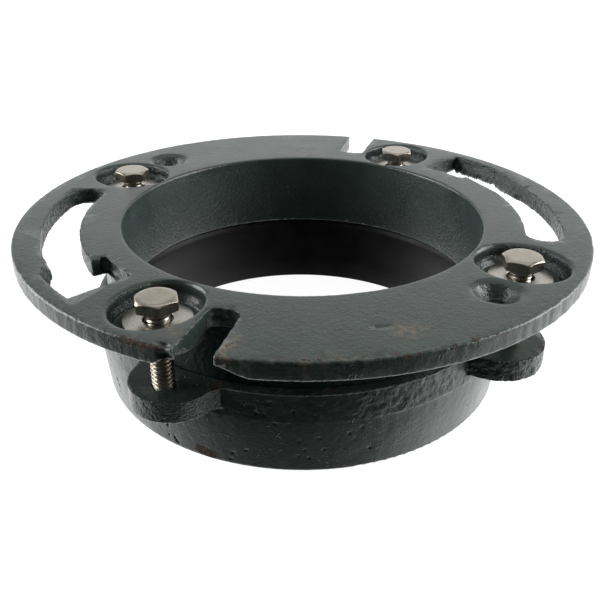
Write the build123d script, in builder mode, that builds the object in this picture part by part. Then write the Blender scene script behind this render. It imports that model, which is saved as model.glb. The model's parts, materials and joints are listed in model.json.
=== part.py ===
"""Cast-iron compression closet flange for a 4 inch soil pipe, in millimetres.

The flange ring with its hub sits on a rubber gasket inside a lower follower ring. Four hex bolts pass
through the flange and thread into the follower ring's ears, so that turning them squeezes the gasket
against the pipe. The origin is the centre of the follower ring's bottom face, +Z is up along the pipe.
The clamp bolts stand on the diagonals, and the two closet-bolt slots are centred on +X and -X.
"""

import math
import os

from build123d import *

# Upper flange
flange_radius = 88.9
flange_top = 50.8
plate_thickness = 5.4
rim_edge_radius = 0.7
bore_radius = 56.8
hub_radius = 62.8
hub_bottom = 25.4
hub_fillet = 2.0

# Clamp bolts, 1/4-20 UNC hex screws 1 1/4 inch long, standing about two turns proud
bolt_count = 4
bolt_circle_radius = 71.6
first_bolt_angle = 45.0
bolt_radius = 3.175
bolt_length = 31.75
bolt_tip_chamfer = 0.8
head_across_flats = 10.7
head_height = 3.4
head_top_chamfer = 0.45
head_top = flange_top + 2.0
head_underside = head_top - head_height
head_corner_angles = (14.0, 4.0, 28.5, 17.0)

# Washers, 1/4 inch flat
washer_radius = 9.32
washer_hole_radius = 3.95
washer_thickness = 1.6

# Oval pockets that the bolt heads and washers sit in, and the bosses cast beneath them.
# Those beside the notches are a little narrower.
pocket_depth = 5.9
pocket_half_length = 13.8
pocket_half_widths = (11.7, 12.5, 11.7, 12.5)
pocket_floor_radius = 10.1
pocket_floor = flange_top - pocket_depth
bolt_hole_radius = 3.7
boss_depth = 9.4
boss_wall = 0.9
boss_foot_radius = 11.6
boss_root_lap = 1.0

# Closet-bolt slots, with a wide end that lets a T-bolt head in
slot_inner_radius = 69.3
slot_outer_radius = 80.8
slot_round_end_angle = -31.0
slot_wide_start_angle = 17.0
slot_wide_end_angle = 30.5
slot_wide_inner_radius = 65.2
slot_wide_outer_radius = 84.0
right_slot_ramp_angles = (3.0, 17.5)
left_slot_ramp_angles = (13.0, 18.5)

# Open notches and countersunk floor-screw holes
notch_angle = 59.5
notch_inner_radius = 67.0
notch_inner_width = 8.7
notch_rim_width = 10.4
notch_corner_radius = 3.0
screw_angle = 119.0
screw_circle_radius = 74.2
screw_hole_radius = 3.0
screw_head_radius = 6.6
screw_head_angle = 82

# Lower follower ring
ring_top = 26.6
ring_outer_top_radius = 67.0
ring_outer_bottom_radius = 65.2
ring_draft_height = 9.0
ring_draft_radius = 66.6
ring_cup_radius = 63.5
ring_lip_thickness = 3.0
ring_lip_radius = 60.2
ring_foot_radius = 0.8
ear_thickness = 6.6
ear_centre_radius = 67.5
ear_radius = 12.4
ear_root_fillet = 5.0
ear_hole_radius = 3.25
ear_sector = 50.0

# The fourth ear was moulded broader than the others, and a little to one side of its bolt
broad_ear_centre_radius = 67.9
broad_ear_radius = 13.8
broad_ear_angle_offset = -1.8
broad_ear_root_fillet = 3.0

# Rubber gasket
gasket_radius = 63.3
gasket_bore_radius = 57.0
gasket_skirt_radius = 59.9
gasket_skirt_bottom = 0.6
gasket_bevel = 1.6
gasket_bevel_height = 2.4

# How far cutting tools run past the faces they cut
overrun = 2.0


def annular_sector(inner_radius, outer_radius, start_angle, end_angle):
    """A flat piece of ring between two radii and two angles in degrees."""
    arc_size = end_angle - start_angle
    with BuildSketch() as sector:
        with BuildLine():
            outer = CenterArc((0, 0), outer_radius, start_angle, arc_size)
            inner = CenterArc((0, 0), inner_radius, start_angle, arc_size)
            Line(inner @ 0, outer @ 0)
            Line(inner @ 1, outer @ 1)
        make_face()
    return sector.sketch


def polar(radius, angle):
    """A point at a radius and an angle in degrees."""
    return (radius * math.cos(math.radians(angle)), radius * math.sin(math.radians(angle)))


def closet_bolt_slot(ramp_angles):
    """One slot: a round end, a long curved run, and a wide end that its outer wall ramps out to."""
    ramp_start, ramp_end = ramp_angles
    with BuildSketch() as slot:
        add(annular_sector(slot_inner_radius, slot_outer_radius, round_end_centre, slot_wide_end_angle))
        add(annular_sector(slot_wide_inner_radius, slot_mid_radius, slot_wide_start_angle, slot_wide_end_angle))
        add(annular_sector(slot_mid_radius, slot_wide_outer_radius, ramp_end, slot_wide_end_angle))
        with PolarLocations(slot_mid_radius, 1, round_end_centre):
            Circle(slot_half_width)
        with BuildLine():
            Polyline(
                polar(slot_inner_radius, ramp_start),
                polar(slot_outer_radius, ramp_start),
                polar(slot_wide_outer_radius, ramp_end),
                polar(slot_inner_radius, ramp_end),
                close=True,
            )
        make_face()
    return slot.sketch


def clamp_ear(centre_radius, angle, radius, root_fillet):
    """One ear, level with the follower ring's top and blended into its wall."""
    with BuildPart() as ear:
        with BuildSketch(Plane.XY.offset(ring_top)) as outline:
            add(annular_sector(ring_cup_radius, ring_draft_radius, angle - ear_sector / 2, angle + ear_sector / 2))
            with PolarLocations(centre_radius, 1, angle):
                Circle(radius)
            Circle(ring_cup_radius, mode=Mode.SUBTRACT)
            roots = outline.vertices().sort_by_distance(polar(ring_cup_radius, angle))[:2]
            fillet(roots, root_fillet)
        extrude(amount=-ear_thickness)
    return ear.part


def oval_well(top_z, top_length, top_width, foot_z, foot_radius):
    """A solid that narrows from an oval at top_z to a round foot, standing at the first clamp bolt."""
    with BuildPart() as well:
        with BuildSketch(Plane.XY.offset(top_z)):
            Ellipse(top_length, top_width)
        with BuildSketch(Plane.XY.offset(foot_z)):
            Circle(foot_radius)
        loft()
    return well.part


def clamp_bolt(position, corner_angle):
    """One hex-head bolt with its axis at a place on the bolt circle and its head turned as it was left."""
    corner_radius = head_across_flats / math.sqrt(3)
    with BuildPart() as bolt:
        with BuildSketch(Plane(origin=(*position, head_underside))):
            RegularPolygon(corner_radius, 6, rotation=corner_angle)
        extrude(amount=head_height)
        with BuildSketch(Plane(origin=(*position, head_underside))):
            Circle(bolt_radius)
        extrude(amount=-bolt_length)
        chamfer(bolt.edges().group_by(Axis.Z)[0], bolt_tip_chamfer)
        chamfer(bolt.faces().sort_by(Axis.Z)[-1].edges(), head_top_chamfer)
    return bolt.part


def flat_washer(position):
    """One flat washer lying on its pocket's floor."""
    with BuildPart() as washer:
        with BuildSketch(Plane(origin=(*position, pocket_floor))):
            Circle(washer_radius)
            Circle(washer_hole_radius, mode=Mode.SUBTRACT)
        extrude(amount=washer_thickness)
    return washer.part


bolt_angles = [first_bolt_angle + k * 360 / bolt_count for k in range(bolt_count)]
bolt_positions = [polar(bolt_circle_radius, angle) for angle in bolt_angles]

# Middle line of the closet-bolt slots, and the centre of their round end
slot_mid_radius = (slot_inner_radius + slot_outer_radius) / 2
slot_half_width = (slot_outer_radius - slot_inner_radius) / 2
round_end_centre = slot_round_end_angle + math.degrees(math.asin(slot_half_width / slot_mid_radius))

# The notch: narrow and round-cornered inside, a little wider where it leaves the rim
notch_end_radius = flange_radius + overrun
with BuildSketch() as rim_notch:
    with BuildLine():
        Polyline(
            (notch_inner_radius, -notch_inner_width / 2),
            (notch_end_radius, -notch_rim_width / 2),
            (notch_end_radius, notch_rim_width / 2),
            (notch_inner_radius, notch_inner_width / 2),
            close=True,
        )
    make_face()
    fillet(rim_notch.vertices().group_by(Axis.X)[0], notch_corner_radius)

pockets = [
    oval_well(flange_top, pocket_half_length, half_width, pocket_floor, pocket_floor_radius)
    for half_width in pocket_half_widths
]
bosses = [
    oval_well(
        flange_top - plate_thickness + boss_root_lap,
        pocket_half_length + boss_wall,
        half_width + boss_wall,
        flange_top - boss_depth,
        boss_foot_radius,
    )
    for half_width in pocket_half_widths
]

# Upper flange: plate, hub and bosses, then everything that is cut from them
with BuildPart() as upper_flange:
    with BuildSketch(Plane.XY.offset(flange_top - plate_thickness)):
        Circle(flange_radius)
    extrude(amount=plate_thickness)
    fillet(upper_flange.edges(), rim_edge_radius)
    with BuildSketch(Plane.XY.offset(hub_bottom)):
        Circle(hub_radius)
    extrude(amount=flange_top - plate_thickness - hub_bottom)
    round_edges = upper_flange.edges().filter_by(GeomType.CIRCLE)
    hub_edges = round_edges.filter_by(lambda edge: math.isclose(edge.radius, hub_radius))
    fillet(hub_edges.sort_by(Axis.Z)[-1], hub_fillet)
    for angle, boss in zip(bolt_angles, bosses):
        with PolarLocations(bolt_circle_radius, 1, angle):
            add(boss)
    for angle, pocket in zip(bolt_angles, pockets):
        with PolarLocations(bolt_circle_radius, 1, angle):
            add(pocket, mode=Mode.SUBTRACT)
    with BuildSketch(Plane.XY.offset(flange_top)):
        with PolarLocations(bolt_circle_radius, bolt_count, first_bolt_angle):
            Circle(bolt_hole_radius)
    extrude(amount=-boss_depth - overrun, mode=Mode.SUBTRACT)
    with BuildSketch(Plane.XY.offset(flange_top + overrun)):
        add(closet_bolt_slot(right_slot_ramp_angles))
        with PolarLocations(0, 1, 180):
            add(closet_bolt_slot(left_slot_ramp_angles))
    extrude(amount=-boss_depth - 2 * overrun, mode=Mode.SUBTRACT)
    with BuildSketch(Plane.XY.offset(flange_top + overrun)):
        with PolarLocations(0, 2, notch_angle):
            add(rim_notch.sketch)
    extrude(amount=-boss_depth - 2 * overrun, mode=Mode.SUBTRACT)
    with Locations(Plane.XY.offset(flange_top)):
        with PolarLocations(screw_circle_radius, 2, screw_angle):
            CounterSinkHole(screw_hole_radius, screw_head_radius, plate_thickness, screw_head_angle)
    with BuildSketch(Plane.XY.offset(hub_bottom)):
        Circle(bore_radius)
    extrude(amount=flange_top - hub_bottom, mode=Mode.SUBTRACT)

# Lower follower ring: a turned cup with a lip, and four ears level with its top
with BuildPart() as compression_ring:
    with BuildSketch(Plane.XZ) as ring_section:
        with BuildLine():
            Polyline(
                (ring_lip_radius, 0),
                (ring_outer_bottom_radius, 0),
                (ring_draft_radius, ring_draft_height),
                (ring_outer_top_radius, ring_top),
                (ring_cup_radius, ring_top),
                (ring_cup_radius, ring_lip_thickness),
                (ring_lip_radius, ring_lip_thickness),
                close=True,
            )
        make_face()
        fillet(ring_section.vertices().group_by(Axis.Y)[0], ring_foot_radius)
    revolve(axis=Axis.Z)
    for angle in bolt_angles[:-1]:
        add(clamp_ear(ear_centre_radius, angle, ear_radius, ear_root_fillet))
    broad_ear_angle = bolt_angles[-1] + broad_ear_angle_offset
    add(clamp_ear(broad_ear_centre_radius, broad_ear_angle, broad_ear_radius, broad_ear_root_fillet))
    with BuildSketch(Plane.XY.offset(ring_top)):
        with PolarLocations(bolt_circle_radius, bolt_count, first_bolt_angle):
            Circle(ear_hole_radius)
    extrude(amount=-ear_thickness, mode=Mode.SUBTRACT)

# Gasket: a thick rubber sleeve on the lip, with a skirt through it and a bevelled mouth
with BuildPart() as gasket:
    with BuildSketch(Plane.XZ):
        with BuildLine():
            Polyline(
                (gasket_bore_radius, gasket_skirt_bottom),
                (gasket_skirt_radius, gasket_skirt_bottom),
                (gasket_skirt_radius, ring_lip_thickness),
                (gasket_radius, ring_lip_thickness),
                (gasket_radius, hub_bottom),
                (gasket_bore_radius + gasket_bevel, hub_bottom),
                (gasket_bore_radius, hub_bottom - gasket_bevel_height),
                close=True,
            )
        make_face()
    revolve(axis=Axis.Z)

pieces = {
    "upper_flange": upper_flange.part,
    "compression_ring": compression_ring.part,
    "gasket": gasket.part,
}
for number, (position, corner_angle) in enumerate(zip(bolt_positions, head_corner_angles), start=1):
    pieces[f"clamp_bolt_{number}"] = clamp_bolt(position, corner_angle)
    pieces[f"washer_{number}"] = flat_washer(position)

os.makedirs("parts", exist_ok=True)
for name, piece in pieces.items():
    piece.label = name
    export_step(piece, f"parts/{name}.step")
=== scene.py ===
import json
import math

import bpy
import numpy as np
from mathutils import Matrix, Vector, noise


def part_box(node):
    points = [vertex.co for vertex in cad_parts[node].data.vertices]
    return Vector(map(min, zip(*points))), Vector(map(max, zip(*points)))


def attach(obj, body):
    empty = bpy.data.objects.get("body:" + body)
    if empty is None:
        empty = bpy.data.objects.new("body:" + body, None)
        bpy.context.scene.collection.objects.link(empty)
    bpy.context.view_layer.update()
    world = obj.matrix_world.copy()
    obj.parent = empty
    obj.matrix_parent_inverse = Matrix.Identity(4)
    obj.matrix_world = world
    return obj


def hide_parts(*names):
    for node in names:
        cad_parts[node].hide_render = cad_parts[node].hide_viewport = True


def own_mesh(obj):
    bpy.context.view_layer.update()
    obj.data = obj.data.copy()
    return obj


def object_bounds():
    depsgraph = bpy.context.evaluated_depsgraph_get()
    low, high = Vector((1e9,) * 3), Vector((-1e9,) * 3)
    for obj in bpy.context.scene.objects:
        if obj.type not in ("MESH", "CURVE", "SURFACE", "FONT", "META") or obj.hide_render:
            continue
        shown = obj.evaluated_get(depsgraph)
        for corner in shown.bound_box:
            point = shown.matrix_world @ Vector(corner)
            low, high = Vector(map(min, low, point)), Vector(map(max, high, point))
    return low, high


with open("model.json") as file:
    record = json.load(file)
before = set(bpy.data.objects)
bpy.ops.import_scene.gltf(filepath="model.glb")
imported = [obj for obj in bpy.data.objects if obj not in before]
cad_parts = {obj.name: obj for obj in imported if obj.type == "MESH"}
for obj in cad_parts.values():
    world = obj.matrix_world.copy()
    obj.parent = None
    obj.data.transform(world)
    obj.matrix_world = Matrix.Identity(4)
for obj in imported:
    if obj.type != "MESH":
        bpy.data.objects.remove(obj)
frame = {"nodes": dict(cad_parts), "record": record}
cad_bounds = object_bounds()

MM = 0.001
NEVER_ZERO = 1e-6
BOLTS = (1, 2, 3, 4)

# Places read from the CAD frame
flange_low, flange_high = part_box("upper_flange")
ring_low, ring_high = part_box("compression_ring")
gasket_low, gasket_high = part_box("gasket")
top_z = flange_high.z
hub_bottom = flange_low.z
rim_radius = flange_high.x
ring_top = ring_high.z
washer_boxes = {n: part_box(f"washer_{n}") for n in BOLTS}
bolt_boxes = {n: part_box(f"clamp_bolt_{n}") for n in BOLTS}
bolt_axes = {n: (washer_boxes[n][0] + washer_boxes[n][1]) / 2 for n in BOLTS}
washer_radius = washer_boxes[1][1].x - bolt_axes[1].x
pocket_floor = washer_boxes[1][0].z
mounts = {mount["name"]: mount for mount in frame["record"]["mounts"]}
bore_radius = mounts["pipe_bore"]["dims"]["r_mm"] * MM
screw_reach = mounts["floor_screw_holes"]["dims"]["pcd_mm"] * MM / 2

# Bearings round the pipe's axis are in degrees from the middle of the right closet-bolt slot
SCREW_BEARING = 119
NOTCH_BEARING = 59.5


# ---------------------------------------------------------------- mesh helpers


def new_object(name, mesh):
    """A new object in the scene that shows a mesh."""
    obj = bpy.data.objects.new(name, mesh)
    bpy.context.scene.collection.objects.link(obj)
    return obj


def apply_modifiers(obj):
    """Replaces an object's mesh by what its modifiers make of it."""
    graph = bpy.context.evaluated_depsgraph_get()
    made = bpy.data.meshes.new_from_object(obj.evaluated_get(graph))
    obj.modifiers.clear()
    obj.data = made


def vertex_array(mesh):
    points = np.zeros(len(mesh.vertices) * 3)
    mesh.vertices.foreach_get("co", points)
    return points.reshape(-1, 3)


def normal_array(mesh):
    normals = np.zeros(len(mesh.vertices) * 3)
    mesh.vertices.foreach_get("normal", normals)
    return normals.reshape(-1, 3)


def set_vertices(mesh, points):
    mesh.vertices.foreach_set("co", points.ravel())
    mesh.update()


def set_attribute(mesh, name, values):
    """Stores one number per vertex for a material to read."""
    attribute = mesh.attributes.new(name, "FLOAT", "POINT")
    attribute.data.foreach_set("value", values.astype(np.float32))


def lumps(points, size, seed):
    """Smooth repeatable noise between about -1 and 1, with bumps of roughly the given size in metres."""
    shift = Vector((seed * 7.13, seed * -3.71, seed * 5.37))
    return np.array([noise.noise(Vector(p) / size + shift) for p in points])


def smooth_step(values, low, high):
    """0 below low, 1 above high, and a smooth climb between."""
    share = np.clip((values - low) / (high - low), 0, 1)
    return share * share * (3 - 2 * share)


def window(values, low, high, soft):
    """1 between low and high, fading to 0 over soft on each side."""
    return smooth_step(values, low - soft, low) * (1 - smooth_step(values, high, high + soft))


def blurred(mesh, values, rounds):
    """Values at the vertices, each replaced over and over by the mean of its neighbours."""
    edges = np.zeros(len(mesh.edges) * 2, int)
    mesh.edges.foreach_get("vertices", edges)
    edges = edges.reshape(-1, 2)
    count = np.zeros(len(mesh.vertices))
    np.add.at(count, edges.ravel(), 1)
    for _ in range(rounds):
        total = np.zeros_like(values)
        np.add.at(total, edges[:, 0], values[edges[:, 1]])
        np.add.at(total, edges[:, 1], values[edges[:, 0]])
        values = total / count[:, None]
    return values


def edge_sharpness(mesh):
    """How convex the surface is at each vertex: above 0 along outside edges, below 0 in inside corners."""
    points = vertex_array(mesh)
    return np.einsum("ij,ij->i", points - blurred(mesh, points, rounds=3), normal_array(mesh))


def turned_rows(profile, around, centre_x=0.0, centre_y=0.0):
    """Rings of points that a profile of (radius, z) makes when it is turned about an upright axis."""
    rows = []
    for radius, z in profile:
        ring = []
        for j in range(around):
            angle = 2 * math.pi * j / around
            ring.append((centre_x + radius * math.cos(angle), centre_y + radius * math.sin(angle), z))
        rows.append(ring)
    return rows


def grid_mesh(name, rows, closed_ends):
    """A closed surface from rings of points, rows[i][j], each ring joined to the next.
    With closed_ends the first and last rings are filled by a fan to their middle."""
    rows = np.asarray(rows)
    count, around = rows.shape[:2]
    vertices = [tuple(p) for p in rows.reshape(-1, 3)]
    faces = []
    for i in range(count - 1 if closed_ends else count):
        for j in range(around):
            a = i * around + j
            b = i * around + (j + 1) % around
            c = ((i + 1) % count) * around + (j + 1) % around
            d = ((i + 1) % count) * around + j
            faces.append((a, b, c, d))
    if closed_ends:
        for i, flip in ((0, True), (count - 1, False)):
            middle = len(vertices)
            vertices.append(tuple(rows[i].mean(axis=0)))
            for j in range(around):
                a = i * around + j
                b = i * around + (j + 1) % around
                faces.append((middle, b, a) if flip else (middle, a, b))
    mesh = bpy.data.meshes.new(name)
    mesh.from_pydata(vertices, [], faces)
    mesh.update()
    return mesh


def finish_mesh(mesh, material, sharp_degrees):
    """Smooth shading that keeps edges sharper than an angle, and the material."""
    mesh.shade_smooth()
    mesh.set_sharp_from_angle(angle=math.radians(sharp_degrees))
    mesh.materials.clear()
    mesh.materials.append(material)


def smooth_below(mesh, level):
    """Takes the sharp edges away from the part of a mesh below a level."""
    sharp = mesh.attributes["sharp_edge"].data
    for edge in mesh.edges:
        if max(mesh.vertices[v].co.z for v in edge.vertices) < level:
            sharp[edge.index].value = False


# ---------------------------------------------------------------- materials

PAINT_TONES = ((0.021, 0.033, 0.030), (0.027, 0.041, 0.037))
PAINT_ON_GRAIN = (0.085, 0.100, 0.092)
PAINT_ON_CRUST = (0.110, 0.130, 0.112)
# Near-black painted shade inside the small pits
PAINTED_SHADE_IN_PITS = (0.004, 0.006, 0.005)
# Lighter grey on the outside edges: partly worn thin paint, partly a painted highlight along the edges
PAINT_WORN_AND_HIGHLIGHT = (0.15, 0.165, 0.150)
STAIN_TONE = (0.165, 0.112, 0.062)
RUST_TONES = ((0.018, 0.011, 0.008), (0.080, 0.042, 0.022))
RUBBER_TONES = ((0.0065, 0.0064, 0.0068), (0.013, 0.0125, 0.013))
BOLT_TONES = ((0.34, 0.305, 0.25), (0.45, 0.415, 0.345))
WASHER_TONES = ((0.53, 0.51, 0.465), (0.64, 0.62, 0.565))
STEEL_DULL = (0.13, 0.10, 0.07)


class Shader:
    """A material under construction, with short calls to add and join its nodes."""

    def __init__(self, name):
        self.material = bpy.data.materials.new(name)
        self.material.use_nodes = True
        self.tree = self.material.node_tree
        self.principled = self.tree.nodes["Principled BSDF"]
        self.place = self.add("ShaderNodeTexCoord").outputs["Object"]

    def add(self, kind, **settings):
        node = self.tree.nodes.new(kind)
        for key, value in settings.items():
            setattr(node, key, value)
        return node

    def join(self, source, target):
        self.tree.links.new(source, target)

    def noise(self, size, detail, roughness=0.5):
        """Noise between 0 and 1 with features of about the given size in metres."""
        node = self.add("ShaderNodeTexNoise")
        node.inputs["Scale"].default_value = 1 / size
        node.inputs["Detail"].default_value = detail
        node.inputs["Roughness"].default_value = roughness
        self.join(self.place, node.inputs["Vector"])
        return node.outputs["Fac"]

    def attribute(self, name):
        return self.add("ShaderNodeAttribute", attribute_name=name).outputs["Fac"]

    def ramp(self, value, low, high, start=0.0, end=1.0):
        """value remapped from low..high to start..end, held at the ends."""
        node = self.add("ShaderNodeMapRange", clamp=True)
        node.inputs["From Min"].default_value = low
        node.inputs["From Max"].default_value = high
        node.inputs["To Min"].default_value = start
        node.inputs["To Max"].default_value = end
        self.join(value, node.inputs["Value"])
        return node.outputs["Result"]

    def math(self, operation, first, second):
        node = self.add("ShaderNodeMath", operation=operation)
        for socket, value in zip(node.inputs, (first, second)):
            if isinstance(value, (int, float)):
                socket.default_value = value
            else:
                self.join(value, socket)
        return node.outputs["Value"]

    def times(self, first, second):
        return self.math("MULTIPLY", first, second)

    def mix(self, share, first, second):
        """Colour between first and second by share."""
        node = self.add("ShaderNodeMix", data_type="RGBA")
        self.join(share, node.inputs["Factor"])
        for key, value in (("A", first), ("B", second)):
            socket = next(s for s in node.inputs if s.name == key and s.type == "RGBA")
            if isinstance(value, tuple):
                socket.default_value = (*value, 1)
            else:
                self.join(value, socket)
        return next(s for s in node.outputs if s.type == "RGBA")

    def bump(self, height, distance, normal=None):
        node = self.add("ShaderNodeBump")
        node.inputs["Distance"].default_value = distance
        self.join(height, node.inputs["Height"])
        if normal is not None:
            self.join(normal, node.inputs["Normal"])
        return node.outputs["Normal"]

    def set(self, **values):
        for key, value in values.items():
            socket = self.principled.inputs[key.replace("_", " ")]
            if isinstance(value, (int, float)):
                socket.default_value = value
            elif isinstance(value, tuple):
                socket.default_value = (*value, 1)
            else:
                self.join(value, socket)


def painted_iron():
    """Dark grey-green gloss paint over sand-cast iron, stained and rusty where it has chipped, with
    lighter outside edges that are partly worn paint and partly a painted highlight.
    """
    s = Shader("painted_iron")
    grain = s.noise(size=0.55 * MM, detail=3)
    mottle = s.noise(size=9 * MM, detail=4)
    coarse = s.attribute("coarse")
    pits = s.ramp(s.noise(size=1.2 * MM, detail=1.5), low=0.66, high=0.73)
    pits = s.times(pits, s.ramp(s.noise(size=11 * MM, detail=2), low=0.48, high=0.60))

    paint = s.mix(s.ramp(mottle, low=0.35, high=0.65), *PAINT_TONES)
    paint = s.mix(s.ramp(grain, low=0.58, high=0.75, end=0.30), paint, PAINT_ON_GRAIN)
    crust = s.times(coarse, s.ramp(s.noise(size=0.8 * MM, detail=3), low=0.52, high=0.70))
    paint = s.mix(s.times(crust, 0.40), paint, PAINT_ON_CRUST)
    # Pits darkened almost to black: painted shade inside pits that are only bumped in
    paint = s.mix(s.times(pits, 0.7), paint, PAINTED_SHADE_IN_PITS)
    # Outside edges made lighter: partly worn thin paint and partly a painted highlight
    wear_and_highlight = s.times(s.attribute("edge"), s.ramp(s.noise(size=1.6 * MM, detail=3), low=0.42, high=0.62))
    paint = s.mix(s.times(wear_and_highlight, 0.35), paint, PAINT_WORN_AND_HIGHLIGHT)
    stain = s.times(s.attribute("stain"), s.ramp(s.noise(size=1.5 * MM, detail=4), low=0.38, high=0.66))
    paint = s.mix(s.times(stain, 0.80), paint, STAIN_TONE)

    fray = s.ramp(s.noise(size=0.9 * MM, detail=3), low=0.3, high=0.7, start=-0.3, end=0.3)
    rusty = s.ramp(s.math("ADD", s.attribute("rust"), fray), low=0.45, high=0.60)
    rust = s.mix(s.ramp(s.noise(size=0.7 * MM, detail=2), low=0.45, high=0.62), *RUST_TONES)
    gloss = s.ramp(mottle, low=0.3, high=0.7, start=0.27, end=0.36)

    skin = s.bump(grain, distance=0.08 * MM)
    skin = s.bump(s.noise(size=1.7 * MM, detail=2), 0.07 * MM, skin)
    skin = s.bump(s.times(coarse, s.noise(size=1.0 * MM, detail=3, roughness=0.6)), 0.65 * MM, skin)
    skin = s.bump(s.times(pits, -1), 0.10 * MM, skin)
    s.set(
        Base_Color=s.mix(rusty, paint, rust),
        Roughness=s.math("MAXIMUM", gloss, s.times(rusty, 0.80)),
        Normal=skin,
        Metallic=0.0,
        IOR=1.5,
    )
    return s.material


def gasket_rubber():
    """Smooth black moulded rubber with a soft sheen and a little dust."""
    s = Shader("gasket_rubber")
    cloud = s.noise(size=9 * MM, detail=3)
    s.set(
        Base_Color=s.mix(s.ramp(cloud, low=0.4, high=0.7), *RUBBER_TONES),
        Roughness=s.ramp(cloud, low=0.3, high=0.7, start=0.42, end=0.52),
        Normal=s.bump(s.noise(size=0.8 * MM, detail=2), distance=0.03 * MM),
        Specular_IOR_Level=0.22,
    )
    return s.material


def stainless_steel(name, tones):
    """Plain stainless steel with a fine grain and a few dull marks."""
    s = Shader(name)
    cloud = s.noise(size=2.4 * MM, detail=4)
    dull = s.ramp(s.noise(size=1.2 * MM, detail=3), low=0.58, high=0.72)
    tone = s.mix(s.ramp(cloud, low=0.35, high=0.7), *tones)
    s.set(
        Base_Color=s.mix(s.times(dull, 0.4), tone, STEEL_DULL),
        Metallic=1.0,
        Roughness=s.ramp(cloud, low=0.3, high=0.7, start=0.26, end=0.34),
        Normal=s.bump(s.noise(size=0.35 * MM, detail=2), distance=0.010 * MM),
    )
    return s.material


iron = painted_iron()
rubber = gasket_rubber()
bolt_steel = stainless_steel("bolt_steel", BOLT_TONES)
washer_steel = stainless_steel("washer_steel", WASHER_TONES)


# ---------------------------------------------------------------- measures on a casting


def upright(normals):
    """1 on walls, 0 on flat faces."""
    return smooth_step(1 - np.abs(normals[:, 2]), 0.15, 0.6)


def radius_of(points):
    return np.hypot(points[:, 0], points[:, 1])


def bearing_of(points):
    """Angle around the pipe's axis in degrees, 0 to 360."""
    return np.degrees(np.arctan2(points[:, 1], points[:, 0])) % 360


def polar(radius, degrees, z):
    angle = math.radians(degrees)
    return np.array((radius * math.cos(angle), radius * math.sin(angle), z))


def away_from(points, axis):
    return np.hypot(points[:, 0] - axis[0], points[:, 1] - axis[1])


def facing(normals, points, axis):
    """How much the surface faces an upright axis: 1 straight at it, -1 straight away from it."""
    inward = np.array((axis[0], axis[1])) - points[:, :2]
    return np.einsum("ij,ij->i", normals[:, :2], inward) / np.maximum(away_from(points, axis), NEVER_ZERO)


def near_place(points, place, reach):
    """1 about a place, falling to 0 at reach from it."""
    return 1 - smooth_step(np.linalg.norm(points - place, axis=1), 0.35 * reach, reach)


def line_distance(points, start, end):
    """Distance of each point from the straight line between two places."""
    run = end - start
    share = np.clip((points - start) @ run / (run @ run), 0, 1)
    return np.linalg.norm(points - start - share[:, None] * run, axis=1)


# ---------------------------------------------------------------- castings

PIPE_AXIS = (0.0, 0.0)
CAST_VOXEL = 0.4 * MM
CAST_WELD = 0.002 * MM
CAST_TRIANGLES = 195000
# Which outside edges get the lighter paint that is partly wear and partly a painted highlight
WEAR_AND_HIGHLIGHT_SHARPNESS = (0.05 * MM, 0.16 * MM)
WEAR_AND_HIGHLIGHT_FROM_RADIUS = (bore_radius + 3.7 * MM, bore_radius + 5.2 * MM)


def cast_copy(node, name):
    """A copy of a CAD casting with evenly spread vertices, so that its surface can be roughened."""
    source = frame["nodes"][node]
    obj = new_object(name, source.data.copy())
    weld = obj.modifiers.new("weld", "WELD")
    weld.merge_threshold = CAST_WELD
    remesh = obj.modifiers.new("even", "REMESH")
    remesh.mode = "VOXEL"
    remesh.voxel_size = CAST_VOXEL
    true_up = obj.modifiers.new("true_up", "SHRINKWRAP")
    true_up.target = source
    true_up.wrap_method = "NEAREST_SURFACEPOINT"
    apply_modifiers(obj)
    return obj


class Casting:
    """A copy of a CAD casting, with where each vertex is before the surface is roughened."""

    def __init__(self, node, name):
        self.obj = cast_copy(node, name)
        self.mesh = self.obj.data
        self.points = vertex_array(self.mesh)
        self.normals = normal_array(self.mesh)
        self.radius = radius_of(self.points)
        self.bearing = bearing_of(self.points)
        self.z = self.points[:, 2]
        self.depth = top_z - self.z
        self.side = upright(self.normals)


def finish_casting(obj, coarse, stain, rust, body, node):
    """Thins a roughened mesh, marks its edges for worn paint and a painted edge highlight, its coarse
    parts, stains and rust, and puts it in its place.
    """
    triangles = 2 * len(obj.data.polygons)
    if triangles > CAST_TRIANGLES:
        thin = obj.modifiers.new("thin", "DECIMATE")
        thin.ratio = CAST_TRIANGLES / triangles
        apply_modifiers(obj)
    mesh = obj.data
    points = vertex_array(mesh)
    sharpness = edge_sharpness(mesh)
    # Edge mask for worn paint that also paints a highlight along the outside edges
    wear_and_highlight = smooth_step(sharpness, *WEAR_AND_HIGHLIGHT_SHARPNESS) * smooth_step(radius_of(points), *WEAR_AND_HIGHLIGHT_FROM_RADIUS)
    set_attribute(mesh, "edge", wear_and_highlight)
    set_attribute(mesh, "coarse", coarse(points, upright(normal_array(mesh))))
    set_attribute(mesh, "stain", stain(points))
    set_attribute(mesh, "rust", rust(points, sharpness))
    mesh.shade_smooth()
    mesh.materials.clear()
    mesh.materials.append(iron)
    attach(obj, body)
    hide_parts(node)


# ---------------------------------------------------------------- flange: its rough skin

# A pair of lengths or bearings says where a soft change begins and ends, or which stretch is meant
RIM_WALL_FROM = (rim_radius - 1.9 * MM, rim_radius - 0.6 * MM)
BORE_WALL_TO = (bore_radius + 3.2 * MM, bore_radius + 4.4 * MM)
RIGHT_RIM = (280, 345)
LEFT_RIM = (195, 232)

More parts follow.
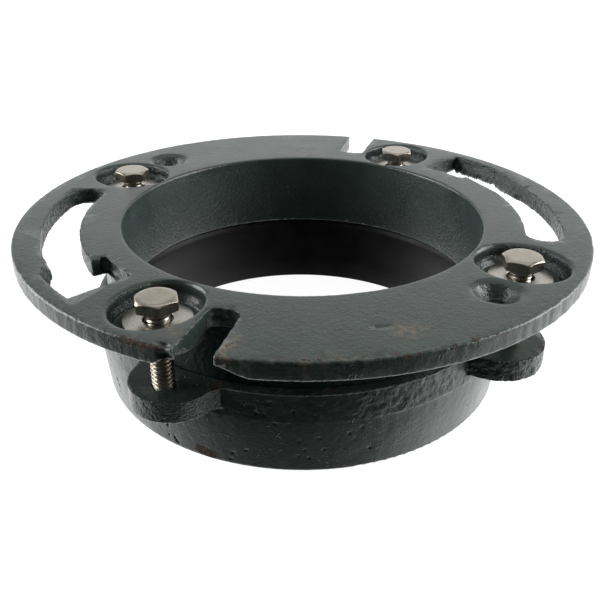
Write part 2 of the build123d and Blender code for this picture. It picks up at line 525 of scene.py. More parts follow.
# How far the waves, blisters and bubbles of the skin stand out on faces and on walls
SKIN_WAVE = 0.035 * MM
SKIN_BLISTER = 0.012 * MM
WALL_BLISTER = 0.15 * MM
WALL_BUBBLE = 0.17 * MM
RIM_BUBBLE = 0.03 * MM
RIPPLE_SIZE = 2.8 * MM
RIPPLE = 0.05 * MM
RIPPLE_MORE_RIGHT = 0.22 * MM
RIPPLE_MORE_LEFT = 0.10 * MM
RIPPLE_DRIFT = 4.0

# Small chips along the outside edges
CHIP_SHARPNESS = (0.06 * MM, 0.20 * MM)
CHIPS_FROM_RADIUS = (bore_radius + 3.2 * MM, bore_radius + 5.2 * MM)
CHIP_BITE = 0.16 * MM
CHIP_BITE_MORE_ON_RIM = 0.30 * MM


def rough_skin(cast):
    """How far the flange's sand-cast skin stands out from the true shape."""
    rim = cast.side * smooth_step(cast.radius, *RIM_WALL_FROM)
    bore = cast.side * (1 - smooth_step(cast.radius, *BORE_WALL_TO))
    walls = cast.side * (1 - rim) * (1 - bore)
    waves = lumps(cast.points, size=9 * MM, seed=1)
    blisters = lumps(cast.points, size=2.3 * MM, seed=2)
    bubbles = lumps(cast.points, size=1.1 * MM, seed=3)
    height = SKIN_WAVE * waves + SKIN_BLISTER * blisters
    # Bubbly walls in the slots, pockets and notches and under the bosses
    height += walls * (WALL_BLISTER * blisters + WALL_BUBBLE * bubbles)
    # Upright ripples around the rim, deepest at the right
    turn = np.radians(cast.bearing)
    around = np.stack([np.cos(turn), np.sin(turn), RIPPLE_DRIFT * cast.depth], axis=1)
    ripples = lumps(around * rim_radius, size=RIPPLE_SIZE, seed=5)
    right = window(cast.bearing, *RIGHT_RIM, soft=12)
    left = window(cast.bearing, *LEFT_RIM, soft=8)
    ripple_height = RIPPLE + RIPPLE_MORE_RIGHT * right + RIPPLE_MORE_LEFT * left
    height += rim * (ripple_height * ripples + RIM_BUBBLE * bubbles)
    # Small chips that make every outside edge uneven
    edge = smooth_step(edge_sharpness(cast.mesh), *CHIP_SHARPNESS)
    chips = smooth_step(lumps(cast.points, size=1.7 * MM, seed=4), 0.15, 0.55)
    chips *= smooth_step(cast.radius, *CHIPS_FROM_RADIUS)
    height -= edge * chips * (CHIP_BITE + CHIP_BITE_MORE_ON_RIM * rim * (right + left))
    return height + slot_walls(cast, blisters)


# The closet-bolt slots' wide ends, by bearing from the slot's middle and by radius
WIDE_ENDS = (8, 31)
SLOT_OUTER_WALL = (rim_radius - 8.9 * MM, rim_radius - 4.3 * MM)
SLOT_LEAN = 1.3 * MM
LEAN_DEPTHS = (1.2 * MM, 4.5 * MM)
WIDE_END_INNER_FROM = bore_radius + 7.6 * MM
LEFT_INNER_WALL = (WIDE_END_INNER_FROM, WIDE_END_INNER_FROM + 1.8 * MM)
RIGHT_INNER_WALL = (WIDE_END_INNER_FROM, WIDE_END_INNER_FROM + 2.4 * MM)
LEFT_INNER_BEARINGS = (198, 209)
RIGHT_INNER_BEARINGS = (12, 24)
LEFT_INNER_CUT = 1.0 * MM
RIGHT_INNER_FILL = 0.9 * MM
CLEARANCE_HOLE_EDGE = (4.0 * MM, 4.6 * MM)


def slot_walls(cast, blisters):
    """How far the walls of the closet-bolt slots stand out at their wide ends."""
    # The outer walls lean in, more so at their feet
    lean = smooth_step(facing(cast.normals, cast.points, PIPE_AXIS), 0.4, 0.8)
    lean *= window(cast.radius, *SLOT_OUTER_WALL, soft=0.4 * MM) * smooth_step(cast.depth, *LEAN_DEPTHS)
    height = np.zeros(len(cast.points))
    for middle in (0, 180):
        turn = (cast.bearing - middle + 180) % 360 - 180
        height += SLOT_LEAN * lean * window(turn, *WIDE_ENDS, soft=5) * (1 + 0.3 * blisters)
    # The left slot's wide end reaches a little further in, and the right slot's a little less
    left = window(cast.bearing, *LEFT_INNER_BEARINGS, soft=2)
    left *= window(cast.radius, *LEFT_INNER_WALL, soft=0.6 * MM)
    right = window(cast.bearing, *RIGHT_INNER_BEARINGS, soft=5)
    right *= window(cast.radius, *RIGHT_INNER_WALL, soft=0.6 * MM)
    return height + cast.side * (RIGHT_INNER_FILL * right - LEFT_INNER_CUT * left)


def trued_faces(cast):
    """0 on the surfaces that touch the washers and the gasket, which stay true, and 1 elsewhere."""
    share = smooth_step(cast.z, hub_bottom + 0.1 * MM, hub_bottom + 1.0 * MM)
    on_floor = cast.z < pocket_floor + 0.3 * MM
    for axis in bolt_axes.values():
        away = away_from(cast.points, axis)
        under_washer = 1 - smooth_step(away, washer_radius + 0.2 * MM, washer_radius + 0.7 * MM)
        share *= 1 - on_floor * under_washer
        share *= smooth_step(away, *CLEARANCE_HOLE_EDGE)
    return share


# ---------------------------------------------------------------- flange: its pockets, lips and damage

# Pockets, by distance from their bolt's axis
POCKET_WALL_FROM = (9.6 * MM, 10.0 * MM)
POCKET_FLOOR_CORNER = 10.6 * MM
POCKET_END = 14.5 * MM
POCKET_WALL_PUSH = 1.5 * MM
POCKET_PUSH_DEPTHS = (0.6 * MM, 3.8 * MM)
POCKET_LIP = (11.4 * MM, 14.2 * MM)
POCKET_LIP_DEPTH = 1.5 * MM
POCKET_LIP_LAND = (bore_radius + 4.2 * MM, rim_radius - 2.9 * MM)
BORE_LIP_WIDTH = 1.4 * MM
BORE_LIP_DEPTH = 1.3 * MM

# Soft lips of the floor screw holes, by distance from the hole's axis
SCREW_SINK = 0.8 * MM
SCREW_SINK_RADIUS = 7.8 * MM
SCREW_SINK_WIDTH = 2.0 * MM
SCREW_CONE_RADIUS = 5.2 * MM

# Damage: a chip, a dent and the two broken feet
CHIP_BEARING = 234.9
CHIP_TOP = polar(rim_radius - 2.9 * MM, CHIP_BEARING - 0.8, top_z + 0.2 * MM)
CHIP_FOOT = polar(rim_radius + 0.1 * MM, CHIP_BEARING + 0.4, top_z - 3.2 * MM)
CHIP_SLOPE = 0.9
CHIP_HALF_WIDTH = 2.4 * MM
CHIP_DEPTH = 3.0 * MM
CHIP_FROM_RADIUS = (rim_radius - 2.7 * MM, rim_radius - 0.7 * MM)

DENT_RADIUS = 75.2 * MM
DENT_BEARINGS = (269.5, 271.4)
DENT_DEPTH = 0.40 * MM

LEFT_FOOT = (235.8, 239)
RIGHT_FOOT = (239, 242.5)
FOOT_FROM_RADIUS = (80 * MM, 84 * MM)
FOOT_DEPTHS = (2.0 * MM, 5.2 * MM)
FOOT_LIFT = 2.7 * MM
PLATE_BACK_DEPTH = 6 * MM


def soft_lips(cast, points):
    """1 on the lips of the pockets and of the bore, which are rounded off."""
    lips = np.zeros(len(points))
    for axis in bolt_axes.values():
        near_top = cast.depth < POCKET_LIP_DEPTH
        lips = np.maximum(lips, window(away_from(points, axis), *POCKET_LIP, soft=0.5 * MM) * near_top)
    lips *= window(cast.radius, *POCKET_LIP_LAND, soft=1 * MM)
    bore_lip = (cast.radius < bore_radius + BORE_LIP_WIDTH) * (cast.depth < BORE_LIP_DEPTH)
    return np.maximum(lips, bore_lip)


def steepen_pockets(cast, points):
    """Makes the pockets' walls steeper than the straight cones of the CAD model."""
    for axis in bolt_axes.values():
        away = away_from(points, axis)
        inside = (away < POCKET_END) * (points[:, 2] > pocket_floor - 0.4 * MM)
        faces_axis = smooth_step(facing(cast.normals, points, axis), 0.2, 0.6)
        wall = inside * np.maximum(faces_axis, away < POCKET_FLOOR_CORNER)
        push = wall * smooth_step(away, *POCKET_WALL_FROM) * smooth_step(cast.depth, *POCKET_PUSH_DEPTHS)
        centre = np.array((axis.x, axis.y))
        points[:, :2] += (points[:, :2] - centre) * (POCKET_WALL_PUSH * push / away)[:, None]


def soften_screw_holes(points):
    """Gives the floor screw holes wide soft lips."""
    for bearing in (SCREW_BEARING, SCREW_BEARING + 180):
        away = away_from(points, polar(screw_reach, bearing, top_z))
        sink = SCREW_SINK * np.clip((SCREW_SINK_RADIUS - away) / SCREW_SINK_WIDTH, 0, 1) ** 1.5
        lip = np.minimum(points[:, 2], top_z - sink)
        points[:, 2] = np.where(away > SCREW_CONE_RADIUS, lip, points[:, 2])


def strike_chip(cast, points):
    """A chip struck out of the rim beside the front notch, deepest where it crosses the edge."""
    inward = -polar(1, CHIP_BEARING, CHIP_SLOPE)
    inward /= np.linalg.norm(inward)
    cut = np.clip(1 - line_distance(points, CHIP_TOP, CHIP_FOOT) / CHIP_HALF_WIDTH, 0, 1)
    cut *= smooth_step(cast.radius, *CHIP_FROM_RADIUS)
    points += CHIP_DEPTH * cut[:, None] * inward


def press_dent(cast, points):
    """A shallow dent in the front land."""
    start, end = (polar(DENT_RADIUS, bearing, top_z) for bearing in DENT_BEARINGS)
    dent = 1 - smooth_step(line_distance(points, start, end), 0.2 * MM, 0.8 * MM)
    points[:, 2] -= DENT_DEPTH * dent * (cast.depth < 1 * MM)


def break_feet(cast, points):
    """Breaks away the feet of the rim's corners on both sides of the front notch."""
    left = window(cast.bearing, *LEFT_FOOT, soft=3.6)
    right = window(cast.bearing, *RIGHT_FOOT, soft=6.0)
    feet = np.maximum(left, right)
    feet *= smooth_step(cast.radius, *FOOT_FROM_RADIUS) * smooth_step(cast.depth, *FOOT_DEPTHS)
    points[:, 2] += FOOT_LIFT * feet * (cast.depth < PLATE_BACK_DEPTH)


def keep_in_flange_box(points):
    """Nothing of the visual model stands outside the CAD box."""
    share = (rim_radius - 0.01 * MM) / np.maximum(radius_of(points), NEVER_ZERO)
    points[:, :2] *= np.minimum(1, share)[:, None]
    points[:, 2] = np.clip(points[:, 2], hub_bottom, top_z)


# ---------------------------------------------------------------- flange: its marks

# Stains: beside the front notch, on the front land, on the notch's other corner and along the rim
NOTCH_STAIN = (polar(80 * MM, 244.6, top_z), polar(88 * MM, 243.8, top_z))
LAND_STAIN = polar(78.5 * MM, 274, top_z)
CORNER_STAIN = polar(81.6 * MM, 233.6, top_z)
RIM_STAIN_BEARINGS = (245, 264)
RIM_STAIN_RADII = (rim_radius - 0.9 * MM, rim_radius + 1.1 * MM)
TOP_FACE_FROM = (top_z - 1.5 * MM, top_z - 0.5 * MM)

# Rust: along the rim's chipped edge, in specks on the front's edges, in the chip and at the notch
EDGE_RUST_BEARINGS = (227.5, 234.2)
EDGE_RUST_RADII = (rim_radius - 0.8 * MM, rim_radius + 1.1 * MM)
EDGE_RUST_HEIGHTS = (top_z - 1.2 * MM, top_z - 0.2 * MM)
SPECK_BEARINGS = ((245, 258), (268, 290))
SPECK_SHARPNESS = (0.05 * MM, 0.12 * MM)
SPECK_FROM_RADIUS = (rim_radius - 4.9 * MM, rim_radius - 1.9 * MM)
SPECK_FROM_Z = (top_z - 2.0 * MM, top_z - 1.0 * MM)
CHIP_RUST = polar(rim_radius - 0.3 * MM, 236.2, top_z - 4 * MM)
NOTCH_RUST = (polar(88.4 * MM, 243.4, top_z), polar(82.5 * MM, 244.0, top_z))

# Coarseness: the share of the full coarse bumps on each kind of wall
INNER_WALLS = (bore_radius + 8.2 * MM, rim_radius - 1.9 * MM)
SMOOTHER_NOTCHES = (NOTCH_BEARING - 7.5, NOTCH_BEARING + 7.5)
SMOOTHER_RIM = (270, 345)
RIM_COARSE = 0.18
RIM_LESS_COARSE = 0.12
BORE_COARSE = 0.36
BORE_COARSE_TO = (bore_radius + 0.7 * MM, bore_radius + 1.7 * MM)
BORE_SMOOTH_FROM_Z = (top_z - 3.0 * MM, top_z - 1.5 * MM)


def flange_stain(points):
    """Brown stains on the top face."""
    along_rim = window(radius_of(points), *RIM_STAIN_RADII, soft=0.6 * MM)
    along_rim *= window(bearing_of(points), *RIM_STAIN_BEARINGS, soft=2)
    along_rim *= smooth_step(lumps(points, size=3 * MM, seed=8), -0.1, 0.3)
    at_notch = 1 - smooth_step(line_distance(points, *NOTCH_STAIN), 0, 3 * MM)
    marks = (
        0.9 * at_notch,
        1.0 * near_place(points, LAND_STAIN, reach=5 * MM),
        0.6 * near_place(points, CORNER_STAIN, reach=4 * MM),
        0.8 * along_rim,
    )
    return np.max(marks, axis=0) * smooth_step(points[:, 2], *TOP_FACE_FROM)


def flange_rust(points, sharpness):
    """Rust where the paint is chipped away."""
    turn = bearing_of(points)
    radius = radius_of(points)
    z = points[:, 2]
    along_edge = window(turn, *EDGE_RUST_BEARINGS, soft=0.8)
    along_edge *= window(radius, *EDGE_RUST_RADII, soft=0.4 * MM)
    along_edge *= window(z, *EDGE_RUST_HEIGHTS, soft=0.5 * MM)
    specks = smooth_step(sharpness, *SPECK_SHARPNESS)
    specks *= smooth_step(lumps(points, size=1.3 * MM, seed=6), 0.26, 0.42)
    specks *= np.max([window(turn, *stretch, soft=2) for stretch in SPECK_BEARINGS], axis=0)
    specks *= smooth_step(radius, *SPECK_FROM_RADIUS) * smooth_step(z, *SPECK_FROM_Z)
    at_notch = 1 - smooth_step(line_distance(points, *NOTCH_RUST), 0.8 * MM, 1.8 * MM)
    marks = (
        0.85 * along_edge,
        0.85 * specks,
        0.9 * near_place(points, CHIP_RUST, reach=2 * MM),
        0.5 * at_notch,
    )
    return np.max(marks, axis=0)


def flange_coarse(points, walls):
    """How coarse the walls are: most in slots and pockets, less in the notches, the rim and the bore."""
    radius = radius_of(points)
    turn = bearing_of(points)
    notches = window(turn % 180, *SMOOTHER_NOTCHES, soft=2)
    inner = window(radius, *INNER_WALLS, soft=1 * MM) * (1 - 0.8 * notches)
    rim_share = RIM_COARSE - RIM_LESS_COARSE * window(turn, *SMOOTHER_RIM, soft=12)
    outer = rim_share * smooth_step(radius, *RIM_WALL_FROM)
    bore = BORE_COARSE * (1 - smooth_step(radius, *BORE_COARSE_TO))
    bore *= 1 - smooth_step(points[:, 2], *BORE_SMOOTH_FROM_Z)
    return walls * (inner + outer + bore)


def build_flange():
    """The flange ring: rough skin first, then its pockets, lips and damage, then its marks."""
    cast = Casting("upper_flange", "flange_casting")
    height = rough_skin(cast) * trued_faces(cast)
    points = cast.points + cast.normals * height[:, None]
    lips = soft_lips(cast, points)
    steepen_pockets(cast, points)
    points += lips[:, None] * (blurred(cast.mesh, points, rounds=6) - points)
    soften_screw_holes(points)
    strike_chip(cast, points)
    press_dent(cast, points)
    break_feet(cast, points)
    keep_in_flange_box(points)
    set_vertices(cast.mesh, points)
    finish_casting(cast.obj, flange_coarse, flange_stain, flange_rust, "flange", "upper_flange")


# ---------------------------------------------------------------- follower ring

# The ring's outside in the CAD model: heights and radii of its foot, its bend and its top
RING_HEIGHTS = (0, 9.0 * MM, ring_top)
RING_RADII = (65.2 * MM, 66.6 * MM, 67.0 * MM)
RING_WALL_TO = RING_RADII[-1] + 0.3 * MM
RING_OUTSIDE_FROM = (RING_RADII[0] - 1.0 * MM, RING_RADII[0] - 0.4 * MM)
RING_FOOT_EDGE = (0.2 * MM, 1.2 * MM)
PARTING_Z = 17.6 * MM
PARTING_SOFT = (PARTING_Z - 0.5 * MM, PARTING_Z + 0.4 * MM)
CRUSTY_BEARINGS = (272, 312)
CRUST = 0.35
CRUST_MORE = 1.1
RING_WAVE = 0.06 * MM
RING_BLISTER = 0.03 * MM
CRUST_BLISTER = 0.15 * MM
CRUST_BUBBLE = 0.08 * MM
UPPER_WALL_LEAN = 0.45 * MM
RING_HOLE_DEPTH = 0.25 * MM
FOOT_CURVE = 1.3
EAR_HOLE_RADIUS = 3.35 * MM
EAR_HOLE_EDGE = (3.5 * MM, 4.5 * MM)
EARS_FROM = (RING_RADII[-1], RING_RADII[-1] + 0.8 * MM)
EAR_COARSE = 0.8
UPPER_COARSE = 0.12
UPPER_MORE_COARSE = 0.2
FOOT_STAIN_HEIGHTS = (-1.0 * MM, 0.6 * MM)
RING_RUST = (polar(66 * MM, 229.6, 2.6 * MM), polar(65.6 * MM, 232.8, 1.6 * MM))
RING_RUST_REACH = (1.2 * MM, 2.1 * MM)
RING_SPECK_SHARPNESS = (0.06 * MM, 0.12 * MM)


def above_parting(z):
    """1 above the mould's parting line, 0 below it."""
    return smooth_step(z, *PARTING_SOFT)


def ring_skin(cast):
    """How far the ring's skin stands out: rough above the parting line, smooth and curved below it."""
    blisters = lumps(cast.points, size=2.5 * MM, seed=12)
    bubbles = lumps(cast.points, size=1.2 * MM, seed=13)
    height = RING_WAVE * lumps(cast.points, size=8 * MM, seed=11) + RING_BLISTER * blisters
    upper = above_parting(cast.z) * cast.side
    crust = upper * (CRUST + CRUST_MORE * window(cast.bearing, *CRUSTY_BEARINGS, soft=8))
    height += crust * (CRUST_BLISTER * blisters + CRUST_BUBBLE * bubbles)
    # Above the parting line the wall leans in a little
    between_ears = cast.radius < RING_WALL_TO
    height -= UPPER_WALL_LEAN * upper * (cast.z - PARTING_Z) / (ring_top - PARTING_Z) * between_ears
    # Below it the wall curves in gently to the foot
    cad_radius = np.interp(cast.z, RING_HEIGHTS, RING_RADII)
    parting_radius = np.interp(PARTING_Z, RING_HEIGHTS, RING_RADII)
    drop = 1 - np.clip(cast.z / PARTING_Z, 0, 1)
    curve = parting_radius - (parting_radius - RING_RADII[0]) * drop ** FOOT_CURVE
    height += (curve - cad_radius) * cast.side * between_ears * (cast.z < PARTING_Z)
    # Small blowholes in groups
    holes = smooth_step(lumps(cast.points, size=1.5 * MM, seed=14), 0.45, 0.6)
    holes *= smooth_step(lumps(cast.points, size=9 * MM, seed=15), 0.1, 0.3)
    height -= RING_HOLE_DEPTH * holes * cast.side
    # The inside, the foot and the edges of the threaded holes stay true
    height *= smooth_step(cast.radius, *RING_OUTSIDE_FROM) * smooth_step(cast.z, *RING_FOOT_EDGE)
    for axis in bolt_axes.values():
        height *= smooth_step(away_from(cast.points, axis), *EAR_HOLE_EDGE)
    return height


def clear_ear_holes(points):
    """Keeps the threaded holes clear of the bolts."""
    for axis in bolt_axes.values():
        centre = np.array((axis.x, axis.y))
        away = away_from(points, axis)
        grow = np.maximum(1, EAR_HOLE_RADIUS / np.maximum(away, NEVER_ZERO))
        grow = np.where(away < EAR_HOLE_EDGE[0], grow, 1)
        points[:, :2] = centre + (points[:, :2] - centre) * grow[:, None]


def ring_stain(points):
    """Faint brown patches along the foot."""
    foot = window(points[:, 2], *FOOT_STAIN_HEIGHTS, soft=0.6 * MM)
    return 0.5 * foot * smooth_step(lumps(points, size=6 * MM, seed=18), 0.05, 0.4)


def ring_rust(points, sharpness):
    """A rusty patch near the foot, and specks along the outside edges."""
    patch = 1 - smooth_step(line_distance(points, *RING_RUST), *RING_RUST_REACH)
    specks = smooth_step(sharpness, *RING_SPECK_SHARPNESS)
    specks *= smooth_step(lumps(points, size=2.4 * MM, seed=17), 0.3, 0.45)
    return np.maximum(patch, 0.8 * specks)


def ring_coarse(points, walls):
    """How coarse the walls are: most on the ears, and a little above the parting line."""
    ears = smooth_step(radius_of(points), *EARS_FROM)
    crusty = window(bearing_of(points), *CRUSTY_BEARINGS, soft=8)
    upper = above_parting(points[:, 2]) * (UPPER_COARSE + UPPER_MORE_COARSE * crusty)
    return walls * np.maximum(EAR_COARSE * ears, upper)


def build_ring():
    """The follower ring: a drafted cup with four ears."""
    cast = Casting("compression_ring", "follower_casting")
    points = cast.points + cast.normals * ring_skin(cast)[:, None]
    clear_ear_holes(points)
    points[:, 2] = np.clip(points[:, 2], 0, ring_top)
    set_vertices(cast.mesh, points)
    finish_casting(cast.obj, ring_coarse, ring_stain, ring_rust, "follower", "compression_ring")


# ---------------------------------------------------------------- gasket

GASKET_INNER = bore_radius + 0.2 * MM
GASKET_SKIRT = 59.9 * MM
GASKET_BEVEL = 1.6 * MM
GASKET_BEVEL_HEIGHT = 2.4 * MM
GASKET_SOFT = 0.35 * MM
GASKET_CORNER = 0.1 * MM
LIP_THICKNESS = 3.0 * MM


def build_gasket():
    """A sleeve with a skirt inside the ring's lip, a shoulder on the lip and a bevelled mouth."""
    seat_z = ring_low.z + LIP_THICKNESS
    inner = GASKET_INNER
    outer = gasket_high.x
    low, high = gasket_low.z, gasket_high.z
    mouth = inner + GASKET_BEVEL
    bevel_foot = high - GASKET_BEVEL_HEIGHT
    profile = [
        (inner + GASKET_SOFT, low),
        (inner + GASKET_CORNER, low + GASKET_CORNER),
        (inner, low + GASKET_SOFT),
        (inner, low + 0.33 * (high - low)),
        (inner, low + 0.66 * (high - low)),
        (inner, bevel_foot - GASKET_SOFT),
        (inner + 0.8 * GASKET_CORNER, bevel_foot),
        (inner + 0.5 * GASKET_BEVEL, high - 0.5 * GASKET_BEVEL_HEIGHT),
        (mouth - GASKET_CORNER, high - 1.5 * GASKET_CORNER),
        (mouth + 2.5 * GASKET_CORNER, high),
        (0.5 * (mouth + outer), high),
        (outer - GASKET_SOFT, high),
        (outer - GASKET_CORNER, high - GASKET_CORNER),
        (outer, high - GASKET_SOFT),
        (outer, 0.5 * (seat_z + high)),
        (outer, seat_z + 0.5 * GASKET_CORNER),
        (outer - GASKET_CORNER, seat_z),
        (GASKET_SKIRT, seat_z),
        (GASKET_SKIRT, low + GASKET_SOFT),
        (GASKET_SKIRT - GASKET_CORNER, low + GASKET_CORNER),
        (GASKET_SKIRT - GASKET_SOFT, low),
    ]
    mesh = grid_mesh("gasket_sleeve", turned_rows(profile, around=288), closed_ends=False)
    obj = new_object("gasket_sleeve", mesh)
    mesh.flip_normals()
    finish_mesh(mesh, rubber, sharp_degrees=50)
    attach(obj, "follower")
    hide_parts("gasket")
    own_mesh(obj)


# ---------------------------------------------------------------- bolts and washers

HEAD_CORNER_DEGREES = {1: 14, 2: 4, 3: 28.5, 4: 17}
HEAD_SIDES = 6
HEAD_CORNER_SOFT = 0.10 * MM
HEAD_EDGE_SOFT = 0.06 * MM
HEAD_CHAMFER_DEGREES = 30
ACROSS_FLATS = 10.7 * MM
HEAD_HEIGHT = 3.4 * MM
HEAD_CIRCLE = 0.475 * ACROSS_FLATS
WASHER_FACE_HEIGHT = 0.3 * MM
SHANK_RADIUS = 3.175 * MM
THREAD_PITCH = 1.27 * MM
THREAD_DEPTH = 0.72 * MM
THREAD_STEPS = 16
THREAD_START = 1.0 * MM
TIP_CHAMFER = 0.9 * MM
BOLT_AROUND = 96


def head_rows(top):
    """Radii and heights of a hex head with a chamfered top and a washer face, from the top down."""
    from_flat = (np.arange(BOLT_AROUND) * 360 / BOLT_AROUND) % (360 / HEAD_SIDES) - 180 / HEAD_SIDES
    hexagon = ACROSS_FLATS / 2 / np.cos(np.radians(from_flat))
    hexagon = np.minimum(hexagon, ACROSS_FLATS / math.sqrt(3) - HEAD_CORNER_SOFT)
    under = top - HEAD_HEIGHT
    face = under + WASHER_FACE_HEIGHT
    slope = math.tan(math.radians(HEAD_CHAMFER_DEGREES))
    shoulder = top - 0.04 * MM - (hexagon - HEAD_CIRCLE) * slope
    return [
        (0.4 * HEAD_CIRCLE, top),
        (0.8 * HEAD_CIRCLE, top),
        (HEAD_CIRCLE - 0.12 * MM, top),
        (HEAD_CIRCLE, top - 0.04 * MM),
        (hexagon - HEAD_EDGE_SOFT, shoulder + 0.02 * MM),
        (hexagon, shoulder - HEAD_EDGE_SOFT),
        (hexagon, 0.5 * (shoulder + face)),
        (hexagon, face + HEAD_EDGE_SOFT),
        (hexagon - HEAD_EDGE_SOFT, face),
        (HEAD_CIRCLE + 0.02 * MM, face),
        (HEAD_CIRCLE, under + 0.03 * MM),
        (HEAD_CIRCLE - 0.1 * MM, under),
        (SHANK_RADIUS + 0.25 * MM, under),
        (SHANK_RADIUS - 0.02 * MM, under - 0.25 * MM),
    ]


def thread_rows(top, tip_z, angles):
    """Radii and heights of a right-hand thread that fades in at its top and ends in a chamfer."""
    rows = []
    steps = int((top - tip_z) / (THREAD_PITCH / THREAD_STEPS))
    for z in np.linspace(top, tip_z, steps):
        phase = (z / THREAD_PITCH - angles / (2 * math.pi)) % 1
        valley = np.clip(1.25 - 2.6 * np.abs(phase - 0.5), 0, 1)
        run_in = min(1, (top - z) / (1.5 * THREAD_PITCH))
        radius = SHANK_RADIUS - THREAD_DEPTH * valley * run_in
        tip = SHANK_RADIUS - max(0, TIP_CHAMFER - (z - tip_z))
        rows.append((np.minimum(radius, tip), z))
    return rows


def build_bolt(n):
    """A hex-head screw with a real thread below the head."""
    axis = bolt_axes[n]
    low, high = bolt_boxes[n]
    under = high.z - HEAD_HEIGHT
    angles = math.radians(HEAD_CORNER_DEGREES[n]) + 2 * math.pi * np.arange(BOLT_AROUND) / BOLT_AROUND
    flat = np.ones(BOLT_AROUND)
    grid = []
    for radius, z in head_rows(high.z) + thread_rows(under - THREAD_START, low.z, angles):
        x = axis.x + radius * np.cos(angles)
        y = axis.y + radius * np.sin(angles)
        grid.append(np.stack([x, y, z * flat], axis=1))
    mesh = grid_mesh(f"hex_bolt_{n}", grid, closed_ends=True)
    mesh.flip_normals()
    obj = new_object(f"hex_bolt_{n}", mesh)
    finish_mesh(mesh, bolt_steel, sharp_degrees=24)
    smooth_below(mesh, under - 0.3 * MM)
    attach(obj, f"bolt_{n}")
    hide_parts(f"clamp_bolt_{n}")


WASHER_INNER = 3.95 * MM
WASHER_SOFT = 0.25 * MM


def build_washer(n):
    """A punched flat washer, rounder at its upper outside edge."""
    axis = bolt_axes[n]
    low, high = washer_boxes[n]
    outer = high.x - axis.x
    inner = WASHER_INNER
    soft = WASHER_SOFT
    profile = [
        (inner, low.z + soft),
        (inner, high.z - soft),
        (inner + 0.3 * soft, high.z - 0.3 * soft),
        (inner + soft, high.z),
        (outer - 2 * soft, high.z),
        (outer - 0.6 * soft, high.z - 0.4 * soft),
        (outer, high.z - 1.6 * soft),
        (outer, low.z + soft),
        (outer - 0.3 * soft, low.z + 0.3 * soft),
        (outer - soft, low.z),
        (inner + soft, low.z),
        (inner + 0.3 * soft, low.z + 0.3 * soft),
    ]
    rows = turned_rows(profile, around=120, centre_x=axis.x, centre_y=axis.y)
    mesh = grid_mesh(f"flat_washer_{n}", rows, closed_ends=False)
    mesh.flip_normals()
    obj = new_object(f"flat_washer_{n}", mesh)
    finish_mesh(mesh, washer_steel, sharp_degrees=50)
    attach(obj, f"washer_{n}")
    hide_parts(f"washer_{n}")


build_flange()
build_ring()
build_gasket()
for number in BOLTS:
    build_bolt(number)
    build_washer(number)


# ---------------------------------------------------------------- floor, light and camera

LOOK_DEGREES = 75.8
LOOK_DOWN_DEGREES = 27.98
ROLL_DEGREES = 0.2
CAMERA_PLACE = (-0.0582, -0.2275, 0.1439)
CAMERA_LENS = 46.99
CAMERA_SENSOR = 36
CAMERA_CLIP = 0.01

FLOOR_MIDDLE = 0.02
FLOOR_FLAT = 3.0
FLOOR_WALL = 6.0
FLOOR_STEPS = 12
FLOOR_GAP = 0.05 * MM

LAMP_DISTANCE = 1.0
LAMP_AIM = Vector((0, 0, 0.03))
SWEEP_BEARING = -10
WHITE = (1.0, 1.0, 1.0)


def build_floor():
    """A near-white floor that curves up into a wall all round. Only the camera sees it.
    The world stands in for it in reflections."""
    profile = [(FLOOR_MIDDLE, 0.0), (FLOOR_FLAT, 0.0)]
    for i in range(1, FLOOR_STEPS + 1):
        rise = math.pi / 2 * i / FLOOR_STEPS
        profile.append((FLOOR_FLAT + FLOOR_WALL * math.sin(rise), FLOOR_WALL * (1 - math.cos(rise))))
    profile.append((FLOOR_FLAT, 2 * FLOOR_WALL))
    mesh = grid_mesh("floor", turned_rows(profile, around=48), closed_ends=True)
    mesh.shade_smooth()
    floor = new_object("floor", mesh)
    floor.location.z = cad_bounds[0].z - FLOOR_GAP
    floor.visible_glossy = False
    floor.visible_diffuse = False
    floor.visible_shadow = False
    s = Shader("pale_floor")
    s.set(
        Base_Color=(0.3, 0.3, 0.3),
        Roughness=1.0,
        Specular_IOR_Level=0.0,
        Emission_Color=WHITE,
        Emission_Strength=0.95,
    )
    mesh.materials.append(s.material)


def bearing_vector(bearing, elevation):
    """The direction at a bearing to the left of straight behind the object, as the camera sees it."""
    angle = math.radians(LOOK_DEGREES + bearing)
    rise = math.radians(elevation)
    return Vector((math.cos(angle) * math.cos(rise), math.sin(angle) * math.cos(rise), math.sin(rise)))


def soft_box(name, bearing, elevation, width, height, radiance):
    """A rectangular lamp that faces the object."""
    lamp = bpy.data.lights.new(name, "AREA")
    lamp.shape = "RECTANGLE"
    lamp.size = width
    lamp.size_y = height
    lamp.energy = radiance * math.pi * width * height
    obj = bpy.data.objects.new(name, lamp)
    away = bearing_vector(bearing, elevation)
    obj.location = LAMP_AIM + away * LAMP_DISTANCE
    obj.rotation_euler = away.to_track_quat("Z", "Y").to_euler()
    obj.visible_camera = False
    bpy.context.scene.collection.objects.link(obj)


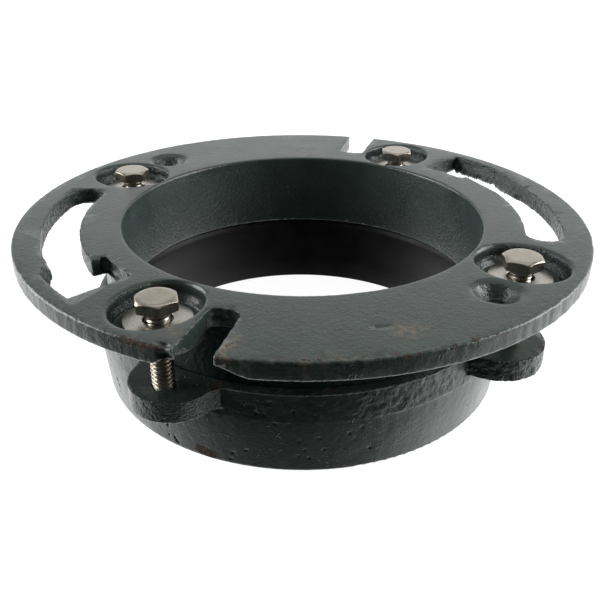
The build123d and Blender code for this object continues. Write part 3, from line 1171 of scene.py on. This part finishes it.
def build_world():
    """Soft room light: a white sweep behind, beside and below the object, and a dark camera side."""
    world = bpy.data.worlds.new("studio")
    bpy.context.scene.world = world
    world.use_nodes = True
    tree = world.node_tree
    background = tree.nodes["Background"]
    place = tree.nodes.new("ShaderNodeTexCoord").outputs["Generated"]

    def along(direction):
        node = tree.nodes.new("ShaderNodeVectorMath")
        node.operation = "DOT_PRODUCT"
        node.inputs[1].default_value = direction
        tree.links.new(place, node.inputs[0])
        return node.outputs["Value"]

    def step(value, low, high, start, end):
        node = tree.nodes.new("ShaderNodeMapRange")
        node.interpolation_type = "SMOOTHSTEP"
        for key, number in (("From Min", low), ("From Max", high), ("To Min", start), ("To Max", end)):
            node.inputs[key].default_value = number
        tree.links.new(value, node.inputs["Value"])
        return node.outputs["Result"]

    up = Vector((0, 0, 1))
    behind = bearing_vector(SWEEP_BEARING, elevation=0)
    sweep = step(along(behind), low=-0.54, high=0.22, start=0, end=1.75)
    near_floor = step(along(-up), low=0.55, high=0.72, start=0, end=0.22)
    lower = tree.nodes.new("ShaderNodeMath")
    lower.operation = "ADD"
    tree.links.new(sweep, lower.inputs[0])
    tree.links.new(near_floor, lower.inputs[1])
    upper = step(along(behind), low=-0.5, high=0.8, start=0.10, end=0.42)
    blend = tree.nodes.new("ShaderNodeMix")
    tree.links.new(step(along(up), low=-0.05, high=0.15, start=0, end=1), blend.inputs["Factor"])
    tree.links.new(lower.outputs["Value"], blend.inputs["A"])
    tree.links.new(upper, blend.inputs["B"])
    tree.links.new(blend.outputs["Result"], background.inputs["Strength"])
    background.inputs["Color"].default_value = (*WHITE, 1)


def build_camera():
    """A camera that looks down on the flange from the front."""
    data = bpy.data.cameras.new("camera")
    data.sensor_width = CAMERA_SENSOR
    data.lens = CAMERA_LENS
    data.clip_start = CAMERA_CLIP
    camera = bpy.data.objects.new("camera", data)
    camera.location = CAMERA_PLACE
    pitch = Matrix.Rotation(math.radians(90 - LOOK_DOWN_DEGREES), 3, "X")
    turn = Matrix.Rotation(math.radians(LOOK_DEGREES - 90), 3, "Z")
    roll = Matrix.Rotation(math.radians(ROLL_DEGREES), 3, "Z")
    camera.rotation_euler = (turn @ pitch @ roll).to_euler()
    bpy.context.scene.collection.objects.link(camera)
    bpy.context.scene.camera = camera


build_floor()
build_world()
soft_box("top_box", bearing=0, elevation=76, width=0.9, height=0.7, radiance=0.9)
soft_box("back_box", bearing=-12, elevation=19, width=1.7, height=0.5, radiance=0.72)
soft_box("left_box", bearing=82, elevation=18, width=0.8, height=0.7, radiance=7.4)
soft_box("right_box", bearing=-86, elevation=20, width=0.7, height=0.8, radiance=7.4)
build_camera()
bpy.context.scene.view_settings.view_transform = "Standard"
